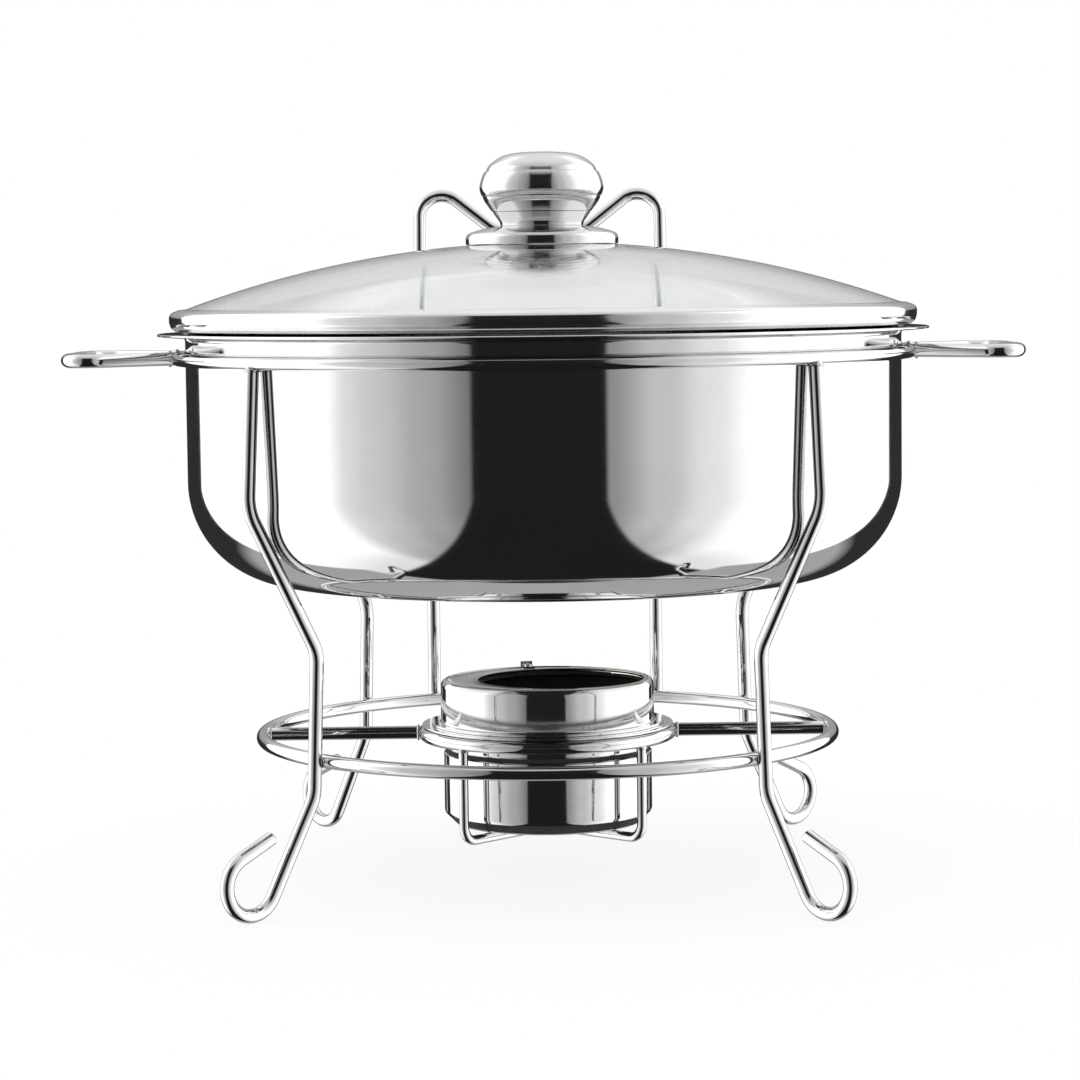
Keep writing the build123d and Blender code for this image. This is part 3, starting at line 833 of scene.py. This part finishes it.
def handle_and_holder_welds():
    parts = []
    root_x = sqrt((ring_r + wire_r) ** 2 - handle_root**2)
    for i, side in enumerate((1, -1)):
        for k, end in enumerate((1, -1)):
            way = Vector((side * root_x, end * handle_root, 0))
            root = way + Vector((0, 0, ring_z))
            parts.append(bead_ring(root, way, wire_r, butt_weld_thick, 20 + 2 * i + k))
    for k, side in enumerate((1, -1)):
        foot = Vector((side * holder_foot_x, sqrt(leg_r**2 - holder_foot_x**2), 0))
        parts.append(crossing_weld(lower_ring_r, lower_ring_z, foot, 30 + k))
        hip = Vector((side * holder_x, sqrt(holder_ring_r**2 - holder_x**2), 0))
        parts.append(crossing_weld(ring_r, ring_z, hip, 40 + k))
    return parts


def burner_support_welds():
    parts = []
    for i, side in enumerate((1, -1)):
        for k, end_x in enumerate((burner_ring_r + wire_r, lower_ring_r - wire_r)):
            end = (side * end_x, 0, lower_ring_z)
            parts.append(bead_ring(end, (1, 0, 0), wire_r, bar_weld_thick, 50 + 2 * i + k))
    for i, azimuth in enumerate(cradle_azimuths):
        top = Vector((burner_ring_r * cos(azimuth), burner_ring_r * sin(azimuth), lower_ring_z - wire_r))
        parts.append(bead_ring(top, (0, 0, 1), thin_wire_r, cradle_weld_thick, 60 + i))
    floor_z = low("cradle_wire").z + thin_wire_r
    for i, azimuth in enumerate(cradle_azimuths[1::2]):
        out = Vector((cos(azimuth), sin(azimuth), 0))
        cross = out * thin_wire_r + Vector((0, 0, floor_z))
        parts.append(bead_ring(cross, out, thin_wire_r, cross_weld_thick, 70 + i))
    return parts


def build_welds():
    """Small beads where the stand's wires are welded: butted ends and crossings."""
    parts = [*leg_welds(), *handle_and_holder_welds(), *burner_support_welds()]
    piece("stand_welds", "stand", weld_chrome, parts)


# ======== Pot
def build_pot():
    """Deep-drawn shell; the outline runs along the outside, round the flange's edge and back inside."""
    hollow_base = [(0, 0.35), (40, 0.30), (70, 0.05), (78, 0)]
    outside = [
        *[Vector((radius, pot_bottom_z + rise)) for radius, rise in hollow_base],
        *arc((corner_x, corner_z), pot_corner_r, -pi / 2, 0, 48),
        *arc((pot_r + mouth_r, flange_top_z - pot_wall - mouth_r), mouth_r, pi, pi / 2, 12),
    ]
    lip_z = flange_top_z - pot_wall / 2
    lip = arc((flange_r - pot_wall / 2, lip_z), pot_wall / 2, -pi / 2, pi / 2, 10)
    inner_mouth_r = mouth_r + pot_wall
    inside = [
        *arc((pot_r + mouth_r, flange_top_z - inner_mouth_r), inner_mouth_r, pi / 2, pi, 12),
        *arc((corner_x, corner_z), pot_corner_r - pot_wall, 0, -pi / 2, 48),
        Vector((0, pot_bottom_z + pot_wall)),
    ]
    outline = [*outside, *lip, *inside]
    piece("pot_shell_spun", "pot", pot_steel, [lathe(outline, 288, closed=False)], ["pot_shell"])


# ======== Lid
def build_glass():
    ground = 0.7
    edge_low = dome_height(glass_r, glass_thick)
    outline = [
        *dome_arc(glass_hole_r, glass_r - ground, 0.0, 60),
        Vector((glass_r - ground * 0.3, dome_height(glass_r) - 0.25)),
        Vector((glass_r, dome_height(glass_r) - ground)),
        Vector((glass_r, edge_low + ground)),
        Vector((glass_r - ground * 0.3, edge_low + 0.25)),
        *reversed(dome_arc(glass_hole_r, glass_r - ground, glass_thick, 60)),
    ]
    piece("lid_glass_dome", "lid", glass, [lathe(outline, 256)], ["lid_glass"])


def build_rim():
    """Rolled steel band: a thin lip on the glass, an upright outside, a seat and a skirt."""
    seat_z = flange_top_z + rim_gap
    edge_z = dome_height(rim_r)
    lip_r = rim_r - rim_lip
    points = [
        (lip_r, dome_height(lip_r) + 0.08),
        (lip_r, dome_height(lip_r) + rim_sheet),
        (rim_r, edge_z + 0.65),
        (rim_r, seat_z + 3.1),
        (rim_r - 0.6, seat_z + 1.3),
        (rim_r - 2.2, seat_z),
        (rim_skirt_r, seat_z),
        (rim_skirt_r, rim_skirt_z),
        (rim_skirt_r - rim_sheet, rim_skirt_z),
        (rim_skirt_r - rim_sheet, seat_z),
        (rim_skirt_r + 0.2, dome_height(rim_skirt_r, glass_thick) - 0.1),
        (glass_r + 0.1, dome_height(glass_r, glass_thick) - 0.1),
        (glass_r + 0.1, dome_height(glass_r) + 0.05),
    ]
    radii = [0.1, 0.25, 2.2, 3.0, 1.5, 1.2, 1.4, 0.25, 0.25, 0.5, 0.3, 0.1, 0.1]
    band = lathe(closed_outline(points, radii), 288)
    piece("lid_rim_band", "lid", rim_steel, [band], ["lid_rim"])


def build_collar():
    """Spun dish under the knob: an upright edge on the glass and a low slope to the neck."""
    foot_z = dome_height(collar_r) + 0.15
    top_z = collar_top_z
    top_r = knob_neck_r + 1.4
    outside = through(
        [
            (collar_r, top_z - 4.2), (collar_r - 0.3, top_z - 3.0), (collar_r - 1.4, top_z - 2.0),
            (collar_r - 5.7, top_z - 0.7), (top_r, top_z),
        ],
        (0, 1), (-2, 0),
    )
    under = [
        (screw_r, top_z), (screw_r, top_z - sheet), (top_r, top_z - sheet),
        (collar_r - 5.8, top_z - 0.8 - sheet), (collar_r - 2.0, top_z - 3.0),
        (collar_r - sheet, top_z - 4.6), (collar_r - sheet, foot_z + 0.1), (collar_r - sheet / 2, foot_z),
        (collar_r - 0.08, foot_z + 0.15),
    ]
    outline = [*outside, *[Vector(p) for p in under]]
    piece("knob_collar_spun", "lid", knob_steel, [lathe(outline, 160)], ["knob_collar"])


def build_knob_body():
    """Lower shell of the knob: waisted neck, a turned groove and the flare up to the seam."""
    base_z = collar_top_z
    groove_z = base_z + knob_groove_rise
    neck_r, seam_r = knob_neck_r, knob_seam_r
    neck = through(
        [
            (neck_r, base_z + 0.35), (neck_r + 0.3, base_z + 1.6), (neck_r + 1.2, base_z + 2.9),
            (neck_r + 2.5, groove_z - 0.12),
        ],
        (0, 1), (0.8, 1),
    )
    groove = Vector((neck_r + 2.2, groove_z + 0.05))
    flare = through(
        [
            (neck_r + 2.8, groove_z + 0.2), (neck_r + 5.2, base_z + 8.4),
            (seam_r - 0.25, knob_seam_z - 0.25),
        ],
        (0.8, 1), (0.6, 1),
    )
    inner = [
        (seam_r - 0.5, knob_seam_z), (seam_r - sheet, knob_seam_z), (neck_r + 2.2, base_z + 5.9),
        (neck_r - sheet, base_z + 2.2), (neck_r - sheet, base_z + sheet), (screw_r, base_z + sheet),
        (screw_r, base_z), (neck_r - 0.35, base_z),
    ]
    outline = [*neck, groove, *flare, *[Vector(p) for p in inner]]
    piece("knob_body_spun", "lid", knob_steel, [lathe(outline, 160)], ["knob_body"])


def build_knob_cap():
    """Upper shell of the knob: widest above the seam, a fine step, then the crown."""
    step_r = knob_r - knob_step_in
    step_z = knob_top_z - knob_step_drop
    side = through(
        [
            (knob_seam_r - 0.4, knob_seam_z + 0.02), (knob_seam_r + 0.1, knob_seam_z + 0.3),
            (knob_r, knob_seam_z + 2.5), (knob_r - 0.55, knob_seam_z + 5.5), (step_r, step_z - 0.1),
        ],
        (0.5, 0), (-1, 1),
    )
    crown = through(
        [
            (step_r - 0.5, step_z + 0.05), (step_r - 1.5, step_z + 2.0), (step_r - 3.6, knob_top_z - 2.8),
            (step_r - 6.6, knob_top_z - 1.2), (step_r - 11.5, knob_top_z - 0.3), (0, knob_top_z),
        ],
        (-0.4, 1), (-4, 0),
    )
    hollow = [
        (0, knob_top_z - sheet), (step_r - 5.0, knob_top_z - 3.3), (step_r - 1.9, step_z - 0.4),
        (knob_r - 1.3, knob_seam_z + 2.4), (knob_seam_r - 1.1, knob_seam_z + 0.02),
        (knob_seam_r - 0.4, knob_seam_z + 0.02),
    ]
    outline = [*side, *crown, *[Vector(p) for p in hollow]]
    piece("knob_cap_spun", "lid", knob_steel, [lathe(outline, 160, closed=False)], ["knob_cap"])


def dress_small_parts():
    """The pieces under the knob and the lever's rivet keep their CAD shape and get their own finish."""
    for node, material, slot in (
        ("gasket_upper", gasket_rubber, "gasket_rubber"),
        ("gasket_lower", gasket_rubber, "gasket_rubber"),
        ("knob_insert", insert_plastic, "insert_plastic"),
        ("knob_washer", screw_steel, "screw_steel"),
        ("knob_screw", screw_steel, "screw_steel"),
        ("lever_rivet", screw_steel, "screw_steel"),
    ):
        dress(node, material)


def dress(node, material):
    """Give a CAD node its material in every slot of its object."""
    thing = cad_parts[node]
    if not thing.material_slots:
        thing.data.materials.append(material)
    for place in thing.material_slots:
        place.material = material


# ======== Burner
def build_fuel_cup():
    """Pressed can with a narrow groove round its side and a turned-over flange."""
    seat_z = burner_seat_z
    floor_z = cup_bottom_z + 0.6
    groove_low_z, groove_high_z = cup_bottom_z + 24.0, cup_bottom_z + 26.4
    side = [
        (0, floor_z), (cup_r - 9.0, floor_z), (cup_r - 8.0, cup_bottom_z), (cup_r - 4.0, cup_bottom_z),
        (cup_r, cup_bottom_z + 4.0), (cup_r, groove_low_z), (cup_r - 0.5, groove_low_z + 0.6),
        (cup_r - 0.5, groove_high_z - 0.6), (cup_r, groove_high_z), (cup_r, seat_z), (cup_flange_r, seat_z),
        (cup_flange_r, seat_z + cup_sheet), (cup_r, seat_z + cup_sheet), (cup_r - cup_sheet, seat_z - 1.0),
        (cup_r - cup_sheet, cup_bottom_z + 4.0), (cup_r - 5.0, floor_z + cup_sheet), (0, floor_z + cup_sheet),
    ]
    radii = [0.5, 0.5, 2.0, 2.0, 0.3, 0.3, 0.3, 0.3, 1.0, 0.3, 0.3, 1.0, 1.0, 3.0, 2.0]
    can = lathe(rounded(side, radii), 192, closed=False)
    piece("fuel_cup_pressed", "burner", burner_steel, [can], ["fuel_cup"])


def build_wick():
    """Fibre filling with a torn, uneven top."""
    radius = cup_r - cup_sheet - 0.25
    low_z, high_z = low("wick_pad").z, high("wick_pad").z
    outline = rounded([(0, low_z), (radius, low_z), (radius, high_z), (0, high_z)], [4.0, 1.5])
    rows = outline[:-1] + [Vector((radius * (1 - i / 26), high_z)) for i in range(2, 27)]
    points, faces = lathe(rows, 96, closed=False)
    rough = []
    for p in points:
        if p.z > high_z - 1.6:
            dent = 0.9 + 0.8 * noise.noise(p * 0.22) + 0.5 * noise.noise(p * 0.7)
            p = Vector((p.x, p.y, min(high_z, p.z - max(0.0, dent))))
        rough.append(p)
    pad = (rough, faces)
    piece("wick_pad_fibre", "burner", wick_fibre, [pad], ["wick_pad"], sharp=radians(80))


def build_cover():
    """Drum on the cup's flange, with a rounded shoulder and an off-centre mouth turned down inside."""
    foot_z = burner_seat_z + cup_sheet
    brim_r = high("burner_cover").x
    seat_z = cover_top_z - recess_deep
    wall = [
        (cover_r - sheet, foot_z), (brim_r, foot_z), (brim_r, foot_z + sheet), (cover_r, foot_z + sheet),
        (cover_r, cover_top_z - 1.5), (cover_r - 1.0, cover_top_z), (recess_r, cover_top_z),
        (recess_r, seat_z - sheet), (cover_r - sheet, seat_z - sheet),
    ]
    radii = [0.1, 0.3, 0.3, 0.6, 2.5, 1.2, 0.2, 0.2, 0.2]
    top = plate(recess_r, burner_mouth_r, burner_mouth_x, seat_z - sheet, seat_z)
    lip_r = burner_mouth_r + 0.45
    lip = [p + Vector((burner_mouth_x, 0, 0)) for p in ring_path(lip_r, seat_z - sheet - 0.35, 160)]
    parts = [lathe(closed_outline(wall, radii), 192), top, tube(lip, 0.42, closed=True, sides=12)]
    piece("burner_cover_drum", "burner", burner_steel, parts, ["burner_cover"])


def build_regulator():
    """The flat disc that opens the mouth, and its lever: a narrow strip bent upwards."""
    disc = plate(recess_r - disc_play, burner_mouth_r, burner_mouth_x, disc_low_z, disc_top_z)
    piece(
        "regulator_disc_pressed", "regulator", regulator_steel, [disc], ["regulator_disc"],
    )
    tip_z = high("regulator_lever").z
    strip = closed_outline(
        [
            (lever_foot_r, disc_top_z), (lever_upright_r + sheet, disc_top_z),
            (lever_upright_r + sheet, tip_z), (lever_upright_r, tip_z),
            (lever_upright_r, disc_top_z + sheet), (lever_foot_r, disc_top_z + sheet),
        ],
        [0.1, 0.9, 0.25, 0.25, 0.2, 0.1],
    )
    across = Vector((-sin(lever_azimuth), cos(lever_azimuth), 0)) * (lever_wide / 2)
    near = [p - across for p in upright(strip, lever_azimuth)]
    far = [p + across for p in upright(strip, lever_azimuth)]
    count = len(strip)
    faces = [[i, (i + 1) % count, count + (i + 1) % count, count + i] for i in range(count)]
    faces += [list(range(count)), list(range(2 * count - 1, count - 1, -1))]
    bent = (near + far, faces)
    piece(
        "regulator_lever_bent", "regulator", regulator_steel, [bent], ["regulator_lever"],
    )


# ======== Stage: floor, light and camera
floor_r = 6.0
floor_fade = (0.07, 0.25)   # metres from the middle, over which the floor turns to plain white
floor_white = (0.85, 1.0)   # share of plain white before and after that
gap_level = 0.015           # brightness of the dark gap that the metal mirrors
panel_size = (1.6, 1.2)
panel_energy = 6.0
panel_place = (-0.5, -0.4, 1.6)
panel_aim = (0, 0, 0.1)


def make_floor_white():
    """Pale and matt in the middle, and plain white towards the edge."""
    n = Nodes(bpy.data.materials.new("floor_white"))
    n.value("Base Color", (0.93, 0.93, 0.93, 1.0))
    n.value("Roughness", 0.9)
    glow = n.add("ShaderNodeEmission")
    glow.inputs["Color"].default_value = (1.0, 1.0, 1.0, 1.0)
    reach = n.add("ShaderNodeVectorMath", operation="LENGTH")
    n.link(n.place(), reach.inputs[0])
    share = n.ranged(reach.outputs["Value"], *floor_fade, *floor_white, "SMOOTHSTEP")
    surface = n.mixed(share, n.shader.outputs[0], glow.outputs[0])
    n.link(surface, n.tree.nodes["Material Output"].inputs["Surface"])
    return n.owner


def build_floor():
    shape = bmesh.new()
    bmesh.ops.create_circle(shape, cap_ends=True, segments=96, radius=floor_r)
    mesh = bpy.data.meshes.new("floor")
    shape.to_mesh(mesh)
    shape.free()
    mesh.materials.append(make_floor_white())
    floor = bpy.data.objects.new("floor", mesh)
    bpy.context.scene.collection.objects.link(floor)
    floor.visible_glossy = False


def mirrored_tent(n):
    """Brightness of what bright metal mirrors, by direction: wide soft panels at both sides, a dark gap in
    front between them, two dark edges behind, and soft light from above."""
    def ramp(source, low_in, high_in, stops):
        """Brightness by a value, from (value, brightness) stops; brightness is halved and doubled
        again so that it may pass 1."""
        node = n.add("ShaderNodeValToRGB")
        band = node.color_ramp
        while len(band.elements) < len(stops):
            band.elements.new(0.5)
        for element, (value, level) in zip(band.elements, stops):
            element.position = (value - low_in) / (high_in - low_in)
            element.color = (level / 2, level / 2, level / 2, 1.0)
        n.link(n.maths("DIVIDE", n.maths("SUBTRACT", source, low_in), high_in - low_in), node.inputs[0])
        return n.maths("MULTIPLY", node.outputs[0], 2.0)

    def lerp(first, second, share):
        kept = n.maths("MULTIPLY", first, n.maths("SUBTRACT", 1.0, share))
        return n.maths("ADD", kept, n.maths("MULTIPLY", share, second))

    def soft(distance, width):
        """1 inside an edge and 0 outside it, over a width; distance is positive inside."""
        return n.ranged(distance, -width / 2, width / 2, 0.0, 1.0, "SMOOTHSTEP")

    split = n.add("ShaderNodeSeparateXYZ")
    n.link(n.add("ShaderNodeTexCoord").outputs["Generated"], split.inputs[0])
    x, y, z = split.outputs
    front = n.maths("MULTIPLY", y, -1.0)
    down = n.maths("MULTIPLY", z, -1.0)
    azimuth = n.maths("MULTIPLY", n.maths("ARCTAN2", x, front), 180 / pi)
    elevation = n.maths("MULTIPLY", n.maths("ARCSINE", z), 180 / pi)

    # wide soft panels at both sides, brighter towards the back
    panels = ramp(azimuth, -180, 180, [
        (-180, 1.6), (-76, 1.6), (-66, 0.93), (-58, 0.75), (-50, 0.66), (-42, 0.50), (-34, 0.44),
        (-26, 0.27), (-22, 0.20), (22, 0.34), (26, 0.44), (33, 0.64), (41, 0.68), (49, 0.90),
        (57, 0.98), (66, 1.3), (76, 1.6), (180, 1.6),
    ])
    dimmer_below = ramp(elevation, -90, 90, [(-90, 0.5), (-60, 0.6), (-50, 0.8), (-30, 1.0)])
    level = n.maths("MULTIPLY", panels, dimmer_below)

    # the room behind: dark at eye level, grey below and bright above
    behind_edge = n.maths("ADD", n.maths("MULTIPLY", down, 0.35), n.maths("MULTIPLY", y, 0.73))
    ahead = soft(n.maths("SUBTRACT", n.maths("MULTIPLY", down, 0.3), y), 0.05)
    behind = soft(n.maths("SUBTRACT", behind_edge, n.maths("ABSOLUTE", x)), 0.03)
    behind = n.maths("MULTIPLY", behind, n.maths("SUBTRACT", 1.0, ahead))
    behind_level = ramp(elevation, -90, 90, [
        (-90, 0.44), (-30, 0.44), (-24, 0.03), (2, 0.03), (4, 0.34), (12, 0.42), (18, 0.60),
        (26, 0.72), (32, 1.0), (90, 1.05),
    ])
    level = lerp(level, behind_level, behind)

    # the dark gap between the panels, in front and below
    gap_half = n.maths("ADD", n.maths("MULTIPLY", down, 0.055), 0.352)
    off_centre = n.maths("ABSOLUTE", n.maths("ADD", x, n.maths("MULTIPLY", front, 0.034)))
    gap = n.maths("MULTIPLY", soft(n.maths("SUBTRACT", gap_half, off_centre), 0.03), ahead)
    level = lerp(level, gap_level, gap)

    # overhead: softer in front than behind
    overhead = ramp(y, -1, 1, [(-1, 0.75), (-0.3, 0.75), (0.3, 1.05), (1, 1.05)])
    high_up = ramp(elevation, -90, 90, [(-90, 0.0), (45, 0.0), (58, 1.0), (90, 1.0)])
    return lerp(level, overhead, high_up)


def build_tent():
    """A white tent: the eye, the glass and matt surfaces see even white, and metal mirrors the panels."""
    world = bpy.data.worlds.new("tent")
    bpy.context.scene.world = world
    n = Nodes(world)
    n.tree.nodes.clear()
    mirrored = n.add("ShaderNodeBackground")
    n.link(mirrored_tent(n), mirrored.inputs["Color"])
    even = n.add("ShaderNodeBackground")
    even.inputs["Color"].default_value = (1.0, 1.0, 1.0, 1.0)
    ray = n.add("ShaderNodeLightPath")
    not_through_glass = n.maths("SUBTRACT", 1.0, ray.outputs["Is Transmission Ray"])
    share = n.maths("MULTIPLY", ray.outputs["Is Glossy Ray"], not_through_glass)
    surface = n.mixed(share, even.outputs[0], mirrored.outputs[0])
    n.link(surface, n.add("ShaderNodeOutputWorld").inputs["Surface"])


def build_panel():
    """One wide soft lamp overhead, which metal doesn't mirror."""
    lamp = bpy.data.lights.new("overhead_panel", "AREA")
    lamp.shape = "RECTANGLE"
    lamp.size, lamp.size_y = panel_size
    lamp.energy = panel_energy
    panel = bpy.data.objects.new("overhead_panel", lamp)
    bpy.context.scene.collection.objects.link(panel)
    panel.location = panel_place
    panel.rotation_euler = (Vector(panel_aim) - panel.location).to_track_quat("-Z", "Y").to_euler()
    panel.visible_glossy = False


def build_camera():
    back = Vector((
        sin(view_azimuth) * cos(view_elevation), -cos(view_azimuth) * cos(view_elevation), sin(view_elevation)
    ))
    level = Vector((cos(view_azimuth), sin(view_azimuth), 0))
    rise = back.cross(level)
    right = level * cos(view_roll) + rise * sin(view_roll)
    up = rise * cos(view_roll) - level * sin(view_roll)
    target = Vector((0, 0, view_height)) + right * view_side
    lens = bpy.data.cameras.new("camera")
    lens.sensor_width = 36.0
    lens.lens = view_lens
    lens.clip_start, lens.clip_end = 0.01, 50.0
    camera = bpy.data.objects.new("camera", lens)
    bpy.context.scene.collection.objects.link(camera)
    turn = Matrix((right, up, back)).transposed().to_4x4()
    camera.matrix_world = Matrix.Translation(target + back * view_distance) @ turn
    bpy.context.scene.camera = camera


build_camera()
build_rings()
build_legs()
build_handles()
build_lid_holder()
build_burner_bars()
build_cradle()
build_welds()
build_pot()
build_glass()
build_rim()
build_collar()
build_knob_body()
build_knob_cap()
dress_small_parts()
build_fuel_cup()
build_wick()
build_cover()
build_regulator()
build_floor()
build_tent()
build_panel()
bpy.context.scene.view_settings.view_transform = "Standard"
